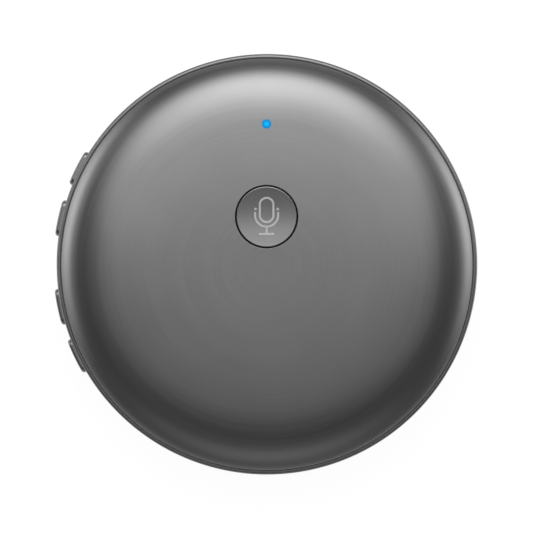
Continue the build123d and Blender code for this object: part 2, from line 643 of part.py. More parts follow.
def make_side_switch(angle):
    body = Pos(31.85, 0, 0) * rounded_block(2.3, 4.6, 6.4, BOARD_Z, 0.2)
    low, top = PLUNGER_LOW_Z - 0.1, PLUNGER_TOP_Z + 0.1
    depth = SHOULDER_DEPTH + KEY_TRAVEL + 2 * FIT
    chamber = Pos(SHOULDER_TIP_R + FIT - depth / 2, 0, 0) * block(depth, 3.1, low, top)
    mouth = Pos(BOARD_R, 0, 0) * block(2.0, 1.8, low, top)
    return Rot(0, 0, angle) * (body - chamber - mouth)


def make_side_plunger(angle):
    """Stepped plunger: its shoulder stays in the switch's chamber."""
    low, top = PLUNGER_LOW_Z, PLUNGER_TOP_Z
    shoulder = Pos(SHOULDER_TIP_R - SHOULDER_DEPTH / 2, 0, 0) * block(SHOULDER_DEPTH, 2.8, low, top)
    nose_length = KEY_BOSS_R - SHOULDER_TIP_R
    nose = Pos(KEY_BOSS_R - nose_length / 2, 0, 0) * block(nose_length, 1.6, low, top)
    return Rot(0, 0, angle) * (shoulder + nose)


# ---- all nodes ----------------------------------------------------------------------------------
nodes = {
    "top_cover": make_top_cover(),
    "inner_frame": make_inner_frame(),
    "lower_case": make_lower_case(),
    "seam_gasket": make_seam_gasket(),
    "foot_ring": make_foot_ring(),
    "case_screws": make_case_screws(),
    "main_board": make_main_board(),
    "board_screws": make_board_screws(),
    "shield_can": make_shield_can(),
    "processor": make_chip(11.0, 11.0, 0.9, -3.5, -12.0),
    "memory_chip": make_chip(6.0, 9.0, 0.8, 6.5, -12.0),
    "power_chip": make_chip(5.0, 5.0, 0.9, 14.5, 3.5),
    "audio_chip": make_chip(4.0, 4.0, 0.8, -14.5, 3.5),
    "inductor": make_inductor(),
    "led_chip": make_led_chip(),
    "light_pipe": make_light_pipe(),
    "battery": make_battery(),
    "battery_pad": make_battery_pad(),
    "battery_flex": make_battery_flex(),
    "battery_connector": make_battery_connector(),
    "speaker": make_speaker(),
    "speaker_cone": make_speaker_cone(),
    "speaker_gasket": make_speaker_gasket(),
    "speaker_mesh": make_speaker_mesh(),
    "speaker_contacts": make_speaker_contacts(),
    "usb_port": make_usb_port(),
    "usb_tongue": make_usb_tongue(),
    "antenna": make_antenna(),
    "antenna_contact": make_antenna_contact(),
    "mic_button": make_mic_button(),
    "mic_button_carrier": make_mic_button_carrier(),
    "main_switch": make_main_switch(),
    "main_switch_plunger": make_main_switch_plunger(),
}
for name, angle in MIC_ANGLES.items():
    nodes[name + "_mic"] = make_mic(angle)
    nodes[name + "_mic_boot"] = make_mic_boot(angle)
for name, angle in KEY_ANGLES.items():
    nodes[name + "_key"] = make_side_key(angle)
    nodes[name + "_switch"] = make_side_switch(angle)
    nodes[name + "_plunger"] = make_side_plunger(angle)

os.makedirs("parts", exist_ok=True)
for name, shape in nodes.items():
    if isinstance(shape, list):
        shape = Compound(children=shape)
    export_step(shape, f"parts/{name}.step")
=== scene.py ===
# %% [markdown]
# # A handheld translator
# The object is a round metal puck: a domed cover, a lower case, a dished push-to-talk button, a
# status light, four side keys and a charging port. The CAD model is already packed with its bodies
# and joints, so this file only makes the looks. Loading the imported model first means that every
# new piece can take its place and size from the node that it stands for.

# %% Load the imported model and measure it
import json
from math import acos, asin, atan2, cos, degrees, hypot, pi, radians, sin, sqrt, tan, tau

import bmesh
import bpy
from mathutils import Matrix, Vector
from mathutils.geometry import interpolate_bezier


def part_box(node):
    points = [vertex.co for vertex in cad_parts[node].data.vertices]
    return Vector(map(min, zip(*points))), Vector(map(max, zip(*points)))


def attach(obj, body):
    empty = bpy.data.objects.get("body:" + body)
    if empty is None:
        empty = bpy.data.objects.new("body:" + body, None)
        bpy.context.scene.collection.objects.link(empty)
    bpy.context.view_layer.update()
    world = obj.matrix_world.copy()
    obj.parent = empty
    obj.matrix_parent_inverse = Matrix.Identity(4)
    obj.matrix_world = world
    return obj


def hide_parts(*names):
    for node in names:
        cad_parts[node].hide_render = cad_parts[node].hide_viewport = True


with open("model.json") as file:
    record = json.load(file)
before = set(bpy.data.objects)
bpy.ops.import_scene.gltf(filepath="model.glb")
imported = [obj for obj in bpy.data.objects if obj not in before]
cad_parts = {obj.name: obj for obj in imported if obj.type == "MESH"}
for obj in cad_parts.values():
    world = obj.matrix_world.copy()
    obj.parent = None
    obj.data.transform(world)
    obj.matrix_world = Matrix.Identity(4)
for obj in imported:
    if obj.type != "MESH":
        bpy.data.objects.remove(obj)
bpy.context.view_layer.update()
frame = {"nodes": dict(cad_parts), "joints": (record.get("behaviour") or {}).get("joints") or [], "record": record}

MM = 0.001  # the frame is in metres, and the pieces below are modelled in millimetres
scene = bpy.context.scene


def box_mm(node):
    """Lowest and highest corner of a CAD node, in millimetres."""
    low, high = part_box(node)
    return low / MM, high / MM


# %% [markdown]
# ## Sizes
# The driving sizes come from the frame: the puck's radius, the cover's crown and edge, the button
# and the light. The sizes that no box can give, such as a wall or a rounding, are named in
# millimetres just before the piece that has them.

# %% Driving sizes
cover_low, cover_high = box_mm("top_cover")
case_low, case_high = box_mm("lower_case")
button_low, button_high = box_mm("mic_button")
light_low, light_high = box_mm("light_pipe")

BODY_R = case_high.x
CASE_BASE_Z = case_low.z
RIM_Z = case_high.z
COVER_R = cover_high.x
COVER_EDGE_Z = cover_low.z
CROWN_Z = cover_high.z
BUTTON_Y = (button_low.y + button_high.y) / 2
BUTTON_R = (button_high.x - button_low.x) / 2
BUTTON_TOP_Z = button_high.z
LAND_Z = button_low.z  # a flat land under the cover, round the button
LIGHT_Y = (light_low.y + light_high.y) / 2
LIGHT_TIP_Z = light_high.z
FOOT_TOP_Z = box_mm("foot_ring")[1].z
FULL_TURN_STEPS = 256  # steps of a full turn on the large pieces
WELD = 0.0005  # points closer than this are one point

print("puck radius", round(BODY_R, 2), "crown", round(CROWN_Z, 2), "button at", round(BUTTON_Y, 2))

# %% [markdown]
# ## Materials
# A finish starts from what the real surface is. One function turns the hex colours that a maker
# would write down into linear values, and one adds a node. Patterns read Object coordinates, so
# they stay on the piece from every side, and their scale comes from a size in millimetres.

# %% Colour and node helpers


def hex_colour(code):
    """Linear RGBA from an sRGB hex value such as #7b7b7f."""
    channels = [int(code[place : place + 2], 16) / 255 for place in (1, 3, 5)]
    return [c / 12.92 if c <= 0.04045 else ((c + 0.055) / 1.055) ** 2.4 for c in channels] + [1.0]


def add(tree, kind, inputs=None, **settings):
    """Add a shader node with its settings, and give inputs values or links from other sockets."""
    node = tree.nodes.new("ShaderNode" + kind)
    for name, value in settings.items():
        setattr(node, name, value)
    for name, value in (inputs or {}).items():
        if isinstance(value, bpy.types.NodeSocket):
            tree.links.new(value, node.inputs[name])
        else:
            node.inputs[name].default_value = value
    return node


def new_material(name):
    """A node material with no nodes in it yet."""
    material = bpy.data.materials.new(name)
    material.use_nodes = True
    material.node_tree.nodes.clear()
    return material, material.node_tree


def per_mm(size):
    """Texture scale for a pattern whose features are this many millimetres apart."""
    return 1 / (size * MM)


print("mid grey is", [round(c, 3) for c in hex_colour("#777777")[:3]])

# %% [markdown]
# ### Turned and anodised aluminium
# The cover and the button's cap are turned on a lathe, so they carry very fine grooves round
# their own axis, which anodising leaves satin. A noise that is stretched round the axis does it:
# the distance from the axis is one coordinate, and the direction from the axis gives the other two
# with a much lower scale, so that a ring hardly changes along its way and closes without a seam.
# The eye reads it as a soft sheen with faint rings in it. Real grooves are about 0.05 mm apart.
# They are drawn at 0.5 mm, because finer ones would be lost between the picture's pixels.

# %% Turned aluminium
GROOVE_PITCH = 0.5
GROOVE_DEPTH = 0.0012
CLOUD_SIZE = 9.0  # slow change of shade, which every anodised surface has
RING_CHANGE = 0.25  # how far the noise moves, in mm, from one side of a ring to its middle
RING_NOISE = (0.2, 0.8)  # nearly all values of the ring noise lie between these
RING_SHADE, RING_ROUGHNESS = 0.07, 0.02  # how far the rings change colour and roughness
RING_BUMP = 0.3
TURNED_ROUGHNESS = 0.30


def turned_aluminium(name, colour, centre_y):
    """Anodised metal with grooves round an upright axis at (0, centre_y)."""
    low, high = RING_NOISE
    material, tree = new_material(name)
    place = add(tree, "TexCoord").outputs["Object"]
    centred = add(tree, "Mapping", {"Vector": place, "Location": (0, -centre_y * MM, 0)})
    split = add(tree, "SeparateXYZ", {0: centred.outputs[0]})
    flat = add(tree, "CombineXYZ", {"X": split.outputs["X"], "Y": split.outputs["Y"]})
    radius = add(tree, "VectorMath", {0: flat.outputs[0]}, operation="LENGTH")
    outward = add(tree, "VectorMath", {0: flat.outputs[0]}, operation="NORMALIZE")
    slow = add(tree, "VectorMath", {0: outward.outputs[0], "Scale": RING_CHANGE * MM}, operation="SCALE")
    way = add(tree, "SeparateXYZ", {0: slow.outputs[0]})
    polar = add(tree, "CombineXYZ", {"X": radius.outputs["Value"], "Y": way.outputs["X"],
                                     "Z": way.outputs["Y"]})
    groove_scale = per_mm(GROOVE_PITCH)
    grooves = add(tree, "TexNoise", {"Vector": polar.outputs[0], "Scale": groove_scale, "Detail": 1.0})
    cloud = add(tree, "TexNoise", {"Vector": centred.outputs[0], "Scale": per_mm(CLOUD_SIZE), "Detail": 2.0})
    mottle = add(tree, "Math", {0: grooves.outputs[0], 1: cloud.outputs[0]}, operation="ADD")
    shade = add(tree, "MapRange", {"Value": mottle.outputs[0], "From Min": 2 * low, "From Max": 2 * high,
                                   "To Min": 1 - RING_SHADE, "To Max": 1 + RING_SHADE})
    tint = add(tree, "VectorMath", {0: hex_colour(colour)[:3], "Scale": shade.outputs[0]}, operation="SCALE")
    rough = add(tree, "MapRange", {"Value": grooves.outputs[0], "From Min": low, "From Max": high,
                                   "To Min": TURNED_ROUGHNESS - RING_ROUGHNESS,
                                   "To Max": TURNED_ROUGHNESS + RING_ROUGHNESS})
    bump = add(tree, "Bump", {"Height": grooves.outputs[0], "Strength": RING_BUMP,
                              "Distance": GROOVE_DEPTH * MM})
    metal = add(tree, "BsdfPrincipled", {"Base Color": tint.outputs[0], "Metallic": 1.0,
                                         "Roughness": rough.outputs[0], "Normal": bump.outputs[0]})
    add(tree, "OutputMaterial", {"Surface": metal.outputs[0]})
    return material


cover_finish = turned_aluminium("anodised_aluminium_turned", "#7a7a7a", 0.0)
button_finish = turned_aluminium("anodised_aluminium_turned_cap", "#7a7a7a", BUTTON_Y)
print("made", cover_finish.name, button_finish.name)

# %% [markdown]
# ### Blasted metal, moulded plastic and rubber
# The other finishes have no direction. Blasting leaves a fine even grain, a moulding takes the
# spark texture of its tool, and rubber has a soft uneven sheen. They differ in colour, metal,
# roughness and grain size, so one function with those settings makes them all.

# %% Grained finishes
MOTTLE_SIZE = 7.0  # slow unevenness, which keeps a large surface from looking like one flat colour
GRAIN_NOISE = (0.3, 0.7)  # nearly all values of the grain and the mottle lie between these
GRAIN_BUMP = 0.6


def grained(name, colour, roughness, grain, relief, metallic=0.0, mottle=0.05, spread=0.04):
    """A material with a fine random grain. Grain and relief are its width and height in mm."""
    low, high = GRAIN_NOISE
    material, tree = new_material(name)
    place = add(tree, "TexCoord").outputs["Object"]
    fine = add(tree, "TexNoise", {"Vector": place, "Scale": per_mm(grain), "Detail": 4.0})
    broad = add(tree, "TexNoise", {"Vector": place, "Scale": per_mm(MOTTLE_SIZE), "Detail": 3.0})
    mixed = add(tree, "Math", {0: fine.outputs[0], 1: broad.outputs[0]}, operation="ADD")
    shade = add(tree, "MapRange", {"Value": mixed.outputs[0], "From Min": 2 * low, "From Max": 2 * high,
                                   "To Min": 1 - mottle, "To Max": 1 + mottle})
    tint = add(tree, "VectorMath", {0: hex_colour(colour)[:3], "Scale": shade.outputs[0]}, operation="SCALE")
    rough = add(tree, "MapRange", {"Value": broad.outputs[0], "From Min": low, "From Max": high,
                                   "To Min": roughness - spread, "To Max": roughness + spread})
    bump = add(tree, "Bump", {"Height": fine.outputs[0], "Strength": GRAIN_BUMP, "Distance": relief * MM})
    surface = add(tree, "BsdfPrincipled", {"Base Color": tint.outputs[0], "Metallic": metallic,
                                           "Roughness": rough.outputs[0], "Normal": bump.outputs[0]})
    add(tree, "OutputMaterial", {"Surface": surface.outputs[0]})
    return material


FINISHES = {
    "cover_metal": cover_finish,
    "button_metal": button_finish,
    # Each has a name, colour, roughness, grain and relief, then metallic and mottle where needed.
    # An even dark grey that spreads a light without a direction.
    "case_metal": grained("anodised_aluminium_blasted", "#747474", 0.34, 0.25, 0.003, 1.0),
    # Tumbled smooth, so each edge carries a narrow bright line.
    "key_metal": grained("anodised_aluminium_satin", "#757575", 0.22, 0.35, 0.002, 1.0, 0.03),
    # Pale and a little blue, with soft highlights.
    "screw_steel": grained("zinc_plated_steel", "#a0a0a2", 0.35, 0.3, 0.003, 1.0),
    # The palest metal, nearly white and soft.
    "tinned_steel": grained("tinned_steel_sheet", "#c6c6c4", 0.33, 0.5, 0.003, 1.0),
    # A warm dark grey with a soft sheen.
    "speaker_steel": grained("nickel_plated_steel", "#7c7b78", 0.32, 0.4, 0.003, 1.0),
    # Drawn through a tool, so it is smooth and shows a bright ring round the port.
    "port_steel": grained("drawn_steel_nickel_plated", "#b9b8b6", 0.22, 0.5, 0.002, 1.0),
    # Foil over a soft pouch, which looks slightly dented.
    "battery_foil": grained("aluminium_pouch_foil", "#b4b4b6", 0.4, 0.8, 0.01, 1.0),
    # Nearly black, and only its edges catch a dull light.
    "black_rubber": grained("silicone_rubber_black", "#1b1b1c", 0.62, 0.3, 0.01),
    # Glass fibres near the skin make the black a bit grey and matt.
    "frame_plastic": grained("glass_filled_nylon", "#2c2c2e", 0.55, 0.25, 0.008),
    # Small smooth black mouldings.
    "switch_plastic": grained("moulded_nylon_black", "#202021", 0.45, 0.3, 0.004),
    # Glossy green lacquer that goes light and dark over the copper under it.
    "board_laminate": grained("solder_resist_green", "#164a33", 0.35, 1.2, 0.01, 0.0, 0.12),
    # Matt black with a fine tooth.
    "chip_epoxy": grained("moulded_epoxy", "#242426", 0.6, 0.2, 0.006),
    # Amber film that lets the copper shine through.
    "copper_flex": grained("polyimide_over_copper", "#a5672c", 0.38, 0.6, 0.004, 0.4),
    # Thin film with a light sheen.
    "cone_film": grained("formed_polymer_film", "#3a3a3c", 0.4, 0.8, 0.004),
    # No sheen at all, and pitted where its cells are cut open.
    "foam": grained("closed_cell_foam", "#303032", 0.85, 0.25, 0.03),
    # Dull, dusty grey.
    "adhesive": grained("acrylic_tape", "#55554f", 0.7, 0.5, 0.006),
    # Flat pale grey that stays the same when the metal round it goes dark.
    "printed_ink": grained("pad_printed_ink_pale_grey", "#b2b2b2", 0.5, 0.3, 0.001, 0.0, 0.03),
}
print("finishes so far", len(FINISHES))

# %% [markdown]
# ### Woven mesh and lit acrylic
# The cloth behind the speaker's holes is woven from round threads, so two crossing waves lift and
# darken it. The status light is a clear acrylic pin with a lamp under it: it glows, most at the
# middle of its tip, and the glow outshines nearly all that its polished surface reflects.

# %% Woven mesh
THREAD_PITCH = 0.3  # the real cloth has 0.1 mm, which a picture of the whole puck can't show
WAVE_PER_SCALE = 3.18  # waves of Blender's band texture along one unit, at a scale of one
WEAVE_SHADE = (0.3, 1.1)  # between the threads and on top of them
WEAVE_DEPTH = 0.03
CLOTH_ROUGHNESS = 0.8


def woven_mesh(name, colour):
    """Acoustic cloth of crossing threads."""
    material, tree = new_material(name)
    place = add(tree, "TexCoord").outputs["Object"]
    scale = per_mm(THREAD_PITCH) / WAVE_PER_SCALE
    warp = add(tree, "TexWave", {"Vector": place, "Scale": scale}, wave_type="BANDS", bands_direction="X")
    weft = add(tree, "TexWave", {"Vector": place, "Scale": scale}, wave_type="BANDS", bands_direction="Y")
    weave = add(tree, "Math", {0: warp.outputs["Fac"], 1: weft.outputs["Fac"]}, operation="MAXIMUM")
    shade = add(tree, "MapRange", {"Value": weave.outputs[0], "To Min": WEAVE_SHADE[0],
                                   "To Max": WEAVE_SHADE[1]})
    tint = add(tree, "VectorMath", {0: hex_colour(colour)[:3], "Scale": shade.outputs[0]}, operation="SCALE")
    bump = add(tree, "Bump", {"Height": weave.outputs[0], "Distance": WEAVE_DEPTH * MM})
    cloth = add(tree, "BsdfPrincipled", {"Base Color": tint.outputs[0], "Roughness": CLOTH_ROUGHNESS,
                                         "Normal": bump.outputs[0]})
    add(tree, "OutputMaterial", {"Surface": cloth.outputs[0]})
    return material


FINISHES["mesh_cloth"] = woven_mesh("woven_acoustic_cloth", "#26262a")
print("made", FINISHES["mesh_cloth"].name)

# %% Lit acrylic
LIGHT_R = 0.8
ACRYLIC_IOR = 1.49
TIP_ROUGHNESS = 0.15
TIP_SPECULAR = 0.05  # a tenth of acrylic's own, because the photo's dot shows no highlight


def lit_acrylic(name, middle, edge):
    """An acrylic pin that glows from its axis outwards."""
    material, tree = new_material(name)
    place = add(tree, "TexCoord").outputs["Object"]
    centred = add(tree, "Mapping", {"Vector": place, "Location": (0, -LIGHT_Y * MM, 0)})
    split = add(tree, "SeparateXYZ", {0: centred.outputs[0]})
    flat = add(tree, "CombineXYZ", {"X": split.outputs["X"], "Y": split.outputs["Y"]})
    radius = add(tree, "VectorMath", {0: flat.outputs[0]}, operation="LENGTH")
    fade = add(tree, "MapRange", {"Value": radius.outputs["Value"], "From Min": 0.0,
                                  "From Max": LIGHT_R * MM}, interpolation_type="SMOOTHSTEP")
    glow = add(tree, "Mix", {"Factor": fade.outputs[0], "A": hex_colour(middle), "B": hex_colour(edge)},
               data_type="RGBA")
    lamp = add(tree, "BsdfPrincipled", {"Base Color": hex_colour("#0b2a3c"), "Roughness": TIP_ROUGHNESS,
                                        "IOR": ACRYLIC_IOR, "Specular IOR Level": TIP_SPECULAR,
                                        "Emission Strength": 1.0, "Emission Color": glow.outputs["Result"]})
    add(tree, "OutputMaterial", {"Surface": lamp.outputs[0]})
    return material


FINISHES["light_plastic"] = lit_acrylic("acrylic_lit_blue", "#00bffb", "#0f82cc")
print("all finishes", len(FINISHES))

# %% [markdown]
# ### Finishes for the nodes that stay
# The circuit board, battery, speaker and the rest keep their CAD meshes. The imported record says
# which material slot each node has, so a loop gives each one its finish.

# %% Give every CAD node its finish
for subpart in frame["record"]["subparts"]:
    for place in frame["nodes"][subpart["node"]].material_slots:
        place.material = FINISHES[subpart["material_slot"]]

# %% [markdown]
# ## Modelling helpers
# Most pieces of a turned product are turned here too: a closed outline of (radius, height) points
# is spun about the axis. Holes are cut with closed cutters. A piece is finished by scaling it to
# metres, marking its sharp edges and tying it to its body.

# %% Outline helpers


def curve(start, pull_start, pull_end, end, steps):
    """Points along a cubic curve through (radius, height) corners."""
    knots = [Vector((radius, height, 0)) for radius, height in (start, pull_start, pull_end, end)]
    return [(point.x, point.y) for point in interpolate_bezier(*knots, steps + 1)]


def arc(centre, radius, start, end, steps):
    """Points along an arc, in degrees from the outward direction towards the top."""
    turns = [radians(start + (end - start) * step / steps) for step in range(steps + 1)]
    return [(centre[0] + radius * cos(turn), centre[1] + radius * sin(turn)) for turn in turns]


def turned(outline, closed=True, steps=FULL_TURN_STEPS):
    """Spin an outline about the puck's axis. One that starts and ends on the axis isn't closed."""
    shape = bmesh.new()
    verts = [shape.verts.new((radius, 0, height)) for radius, height in outline]
    ends = verts[1:] + verts[:1] if closed else verts[1:]
    edges = [shape.edges.new(pair) for pair in zip(verts, ends)]
    bmesh.ops.spin(
        shape, geom=verts + edges, cent=(0, 0, 0), axis=(0, 0, 1), angle=tau, steps=steps, use_merge=True
    )
    bmesh.ops.remove_doubles(shape, verts=shape.verts, dist=WELD)
    bmesh.ops.recalc_face_normals(shape, faces=shape.faces)
    return shape


def turn_by(shape, angle, axis):
    """Turn a whole shape about an axis through the origin, by degrees."""
    matrix = Matrix.Rotation(radians(angle), 3, axis)
    bmesh.ops.rotate(shape, verts=shape.verts, cent=(0, 0, 0), matrix=matrix)
    return shape


def moved(shape, x=0.0, y=0.0, z=0.0, turn=0.0):
    """Shift a shape, then turn it about the upright axis."""
    bmesh.ops.translate(shape, verts=shape.verts, vec=(x, y, z))
    return turn_by(shape, turn, "Z")


print("an arc of 4 steps has", len(arc((0, 0), 1, 0, 90, 4)), "points")

# %% Joining and cutting helpers


def gathered(shapes):
    """One bmesh that holds several."""
    whole = bmesh.new()
    for shape in shapes:
        mesh = bpy.data.meshes.new("gathered")
        shape.to_mesh(mesh)
        shape.free()
        whole.from_mesh(mesh)
        bpy.data.meshes.remove(mesh)
    return whole


def combined(shape, other, operation):
    """Take one closed shape from another, or join them, by the exact boolean."""
    holders = []
    for solid in (shape, other):
        mesh = bpy.data.meshes.new("combining")
        solid.to_mesh(mesh)
        solid.free()
        holders.append(bpy.data.objects.new("combining", mesh))
        scene.collection.objects.link(holders[-1])
    boolean = holders[0].modifiers.new("combine", "BOOLEAN")
    boolean.operation = operation
    boolean.solver = "EXACT"
    boolean.object = holders[1]
    result = bmesh.new()
    result.from_object(holders[0], bpy.context.evaluated_depsgraph_get())
    for holder in holders:
        mesh = holder.data
        bpy.data.objects.remove(holder)
        bpy.data.meshes.remove(mesh)
    return result


def finish_piece(name, shape, body, slot, stands_for=(), sharp=32):
    """Turn a bmesh in millimetres into a smooth-shaded piece in metres that rides on its body."""
    bmesh.ops.scale(shape, verts=shape.verts, vec=(MM, MM, MM))
    for face in shape.faces:
        face.smooth = True
    for edge in shape.edges:
        edge.smooth = edge.calc_face_angle(0) < radians(sharp)
    open_edges = sum(not edge.is_manifold for edge in shape.edges)
    mesh = bpy.data.meshes.new(name)
    shape.to_mesh(mesh)
    shape.free()
    mesh.materials.append(FINISHES[slot])
    piece = bpy.data.objects.new(name, mesh)
    scene.collection.objects.link(piece)
    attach(piece, body)
    if stands_for:
        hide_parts(*stands_for)
    print(name, len(mesh.polygons), "faces,", open_edges, "open edges")


# %% [markdown]
# ## The cover
# The cover is one thin dome, turned from aluminium. It is nearly flat over the middle and falls
# away ever faster towards its edge, which a single cubic curve describes. The button's hole is off
# the axis, so a plain spin would need it cut out, and the cut would leave an untidy edge in a
# glossy surface. Instead the dome grows out of the hole: a circle of points at the hole is extruded
# again and again, and each new loop is wider and nearer to the axis until the loops are concentric.
# The height always comes from the dome's own curve. The hole then has an even rounded edge, and
# every face is a clean quad.

# %% The dome's curves
COVER_WALL = 1.15
COVER_LIP = 0.3  # short upright face at the foot of the dome
EDGE_R = COVER_R - 0.06  # the dome stops here, so that the seam shows as a dark line
EDGE_ROUND = 0.15  # takes the dome's edge, which slopes by 45 degrees, down into the seam
SKIRT_R = 34.6  # inside of the cover's thick edge
SKIRT_TOP_Z = COVER_EDGE_Z + 1.0
INNER_CROWN_Z = CROWN_Z - COVER_WALL
OUTER_DOME = [(0, CROWN_Z), (26.0, CROWN_Z), (32.75, CROWN_Z - 1.7), (COVER_R, COVER_EDGE_Z + COVER_LIP)]
INNER_DOME = [(0, INNER_CROWN_Z), (22.5, INNER_CROWN_Z), (30.25, INNER_CROWN_Z - 1.3), (SKIRT_R, SKIRT_TOP_Z)]
HALVINGS = 30  # far below a thousandth of a millimetre


def along(corners, share):
    """(radius, height) at a share of the way along a cubic curve."""
    rest = 1 - share
    weights = (rest**3, 3 * rest**2 * share, 3 * rest * share**2, share**3)
    return [sum(weight * corner[axis] for weight, corner in zip(weights, corners)) for axis in (0, 1)]


def share_at(corners, radius):
    """Share of the way along a dome's curve where it reaches a radius, by halving the interval."""
    low, high = 0.0, 1.0
    for _ in range(HALVINGS):
        middle = (low + high) / 2
        low, high = (middle, high) if along(corners, middle)[0] < radius else (low, middle)
    return low


def height_at(corners, radius):
    """Height of a dome's curve at a radius."""
    return along(corners, share_at(corners, radius))[1]


print("dome height at the light", round(height_at(OUTER_DOME, LIGHT_Y), 2))

# %% [markdown]
# Each loop is a circle: the place of its centre along Y, its radius, the dome that it follows, and
# how far it is above that dome. A loop without a dome lies flat at a height. The list walks along
# the wall from the land under the button's hole, up through the hole and over its rounded edge,
# out over the dome, round the cover's edge and back along the inside.

# %% Loops of the cover
HOLE_R = 5.70
HOLE_ROUND = 0.06
MEET_R = 23.5  # from here outwards the loops are concentric
MEET_STEP = 0.3
LAND_R = 7.6
SNAP_GROOVE = (COVER_EDGE_Z + 0.3, COVER_EDGE_Z + 0.9)  # the inner frame's lugs click in here
SNAP_R = SKIRT_R + 0.25


def dome_loops(corners, start_r, end_r, meet_loops, edge_loops):
    """Loops from a circle round the button out to a radius near the edge of a dome."""
    shares = [step / meet_loops for step in range(meet_loops + 1)]
    loops = [(BUTTON_Y * (1 - share), start_r + (MEET_R - start_r) * share) for share in shares]
    begin, end = share_at(corners, MEET_R + MEET_STEP), share_at(corners, end_r)
    for step in range(edge_loops + 1):
        loops.append((0.0, along(corners, begin + (end - begin) * step / edge_loops)[0]))
    return [(centre, radius, corners, 0.0) for centre, radius in loops]


hole_arc = arc((HOLE_R + HOLE_ROUND, -HOLE_ROUND), HOLE_ROUND, 180, 90, steps=4)
hole_edge = [(BUTTON_Y, radius, OUTER_DOME, drop) for radius, drop in hole_arc]
round_r = EDGE_R - EDGE_ROUND * (1 - cos(pi / 4))  # the round starts here, where it touches the dome
round_z = height_at(OUTER_DOME, round_r) - EDGE_ROUND * sin(pi / 4)
edge_outline = arc((EDGE_R - EDGE_ROUND, round_z), EDGE_ROUND, 45, 0, steps=4)
edge_outline += [(EDGE_R, COVER_EDGE_Z), (SKIRT_R, COVER_EDGE_Z)]
edge_outline += [(SKIRT_R, SNAP_GROOVE[0]), (SNAP_R, SNAP_GROOVE[0])]
edge_outline += [(SNAP_R, SNAP_GROOVE[1]), (SKIRT_R, SNAP_GROOVE[1])]
edge_turn = [(0.0, radius, None, height) for radius, height in edge_outline]
outside = dome_loops(OUTER_DOME, HOLE_R + 2 * HOLE_ROUND, round_r, meet_loops=26, edge_loops=48)
inside = dome_loops(INNER_DOME, LAND_R, SKIRT_R, meet_loops=12, edge_loops=20)[::-1]
land = [(BUTTON_Y, LAND_R, None, LAND_Z), (BUTTON_Y, HOLE_R, None, LAND_Z)]
COVER_LOOPS = hole_edge + outside + edge_turn + inside + land


def make_cover():
    """Grow the cover's wall loop by loop, and weld the last loop to the first."""
    shape = bmesh.new()
    bmesh.ops.create_circle(shape, radius=HOLE_R, segments=FULL_TURN_STEPS)
    bmesh.ops.translate(shape, verts=shape.verts, vec=(0, BUTTON_Y, LAND_Z))
    edges = list(shape.edges)
    centre = BUTTON_Y
    for next_centre, radius, dome, rise in COVER_LOOPS:
        grown = bmesh.ops.extrude_edge_only(shape, edges=edges)["geom"]
        for vert in (part for part in grown if isinstance(part, bmesh.types.BMVert)):
            turn = atan2(vert.co.y - centre, vert.co.x)
            x, y = radius * cos(turn), next_centre + radius * sin(turn)
            vert.co = (x, y, rise + (height_at(dome, hypot(x, y)) if dome else 0))
        edges = [part for part in grown if isinstance(part, bmesh.types.BMEdge)]
        centre = next_centre
    bmesh.ops.remove_doubles(shape, verts=shape.verts, dist=WELD)
    bmesh.ops.recalc_face_normals(shape, faces=shape.faces)
    return shape


print("the cover has", len(COVER_LOOPS), "loops")

# %% [markdown]
# The status light has its own small hole, which is far from the axis too. It is only 1.7 mm wide,
# so here a boolean with a short cylinder is the simple way, and the fine grid round it keeps the
# dome's shading.

# %% Cut the light's hole and finish the cover
LIGHT_HOLE_R = LIGHT_R + 0.05


def pin(radius, low, high, steps=24):
    """A plain upright cylinder, as a cutter."""
    return turned([(0, low), (radius, low), (radius, high), (0, high)], closed=False, steps=steps)


light_drill = moved(pin(LIGHT_HOLE_R, COVER_EDGE_Z, CROWN_Z + 1, steps=64), y=LIGHT_Y)
cover_shape = combined(make_cover(), light_drill, "DIFFERENCE")
finish_piece("cover_shell", cover_shape, "housing", "cover_metal", ["top_cover"])

# %% [markdown]
# ## The lower case
# The case is a shallow bowl with a rounded foot, an upright band and a rim round the cover. Its
# wall is one closed outline, spun. The flat middle of the floor is left out of the spin and filled
# with one face above and one below, because many long thin triangles that meet on the axis would
# make the holes hard to cut.

# %% Spin the case
CASE_WALL_R = BODY_R - 1.5  # inside of the band
BAND_Z = 4.9
FLAT_R = 29.2  # the flat of the underside ends here
FLOOR_Z = CASE_BASE_Z + 1.4
RIM_ROUND = 0.54
RIM_INNER_R = 37.40
RIM_EDGE = 0.04  # the sharp inner edge is broken by this much
LEDGE_Z = RIM_Z - 0.5
GROOVE_IN_R, GROOVE_OUT_R = 24.4, 28.6  # groove of the rubber foot
GROOVE_Z = CASE_BASE_Z + 0.5
BOWL_OUTSIDE = [(FLAT_R, CASE_BASE_Z), (35.2, CASE_BASE_Z), (BODY_R, 2.6), (BODY_R, BAND_Z)]
BOWL_INSIDE = [(CASE_WALL_R, BAND_Z), (CASE_WALL_R, 3.6), (34.0, FLOOR_Z), (GROOVE_OUT_R, FLOOR_Z)]


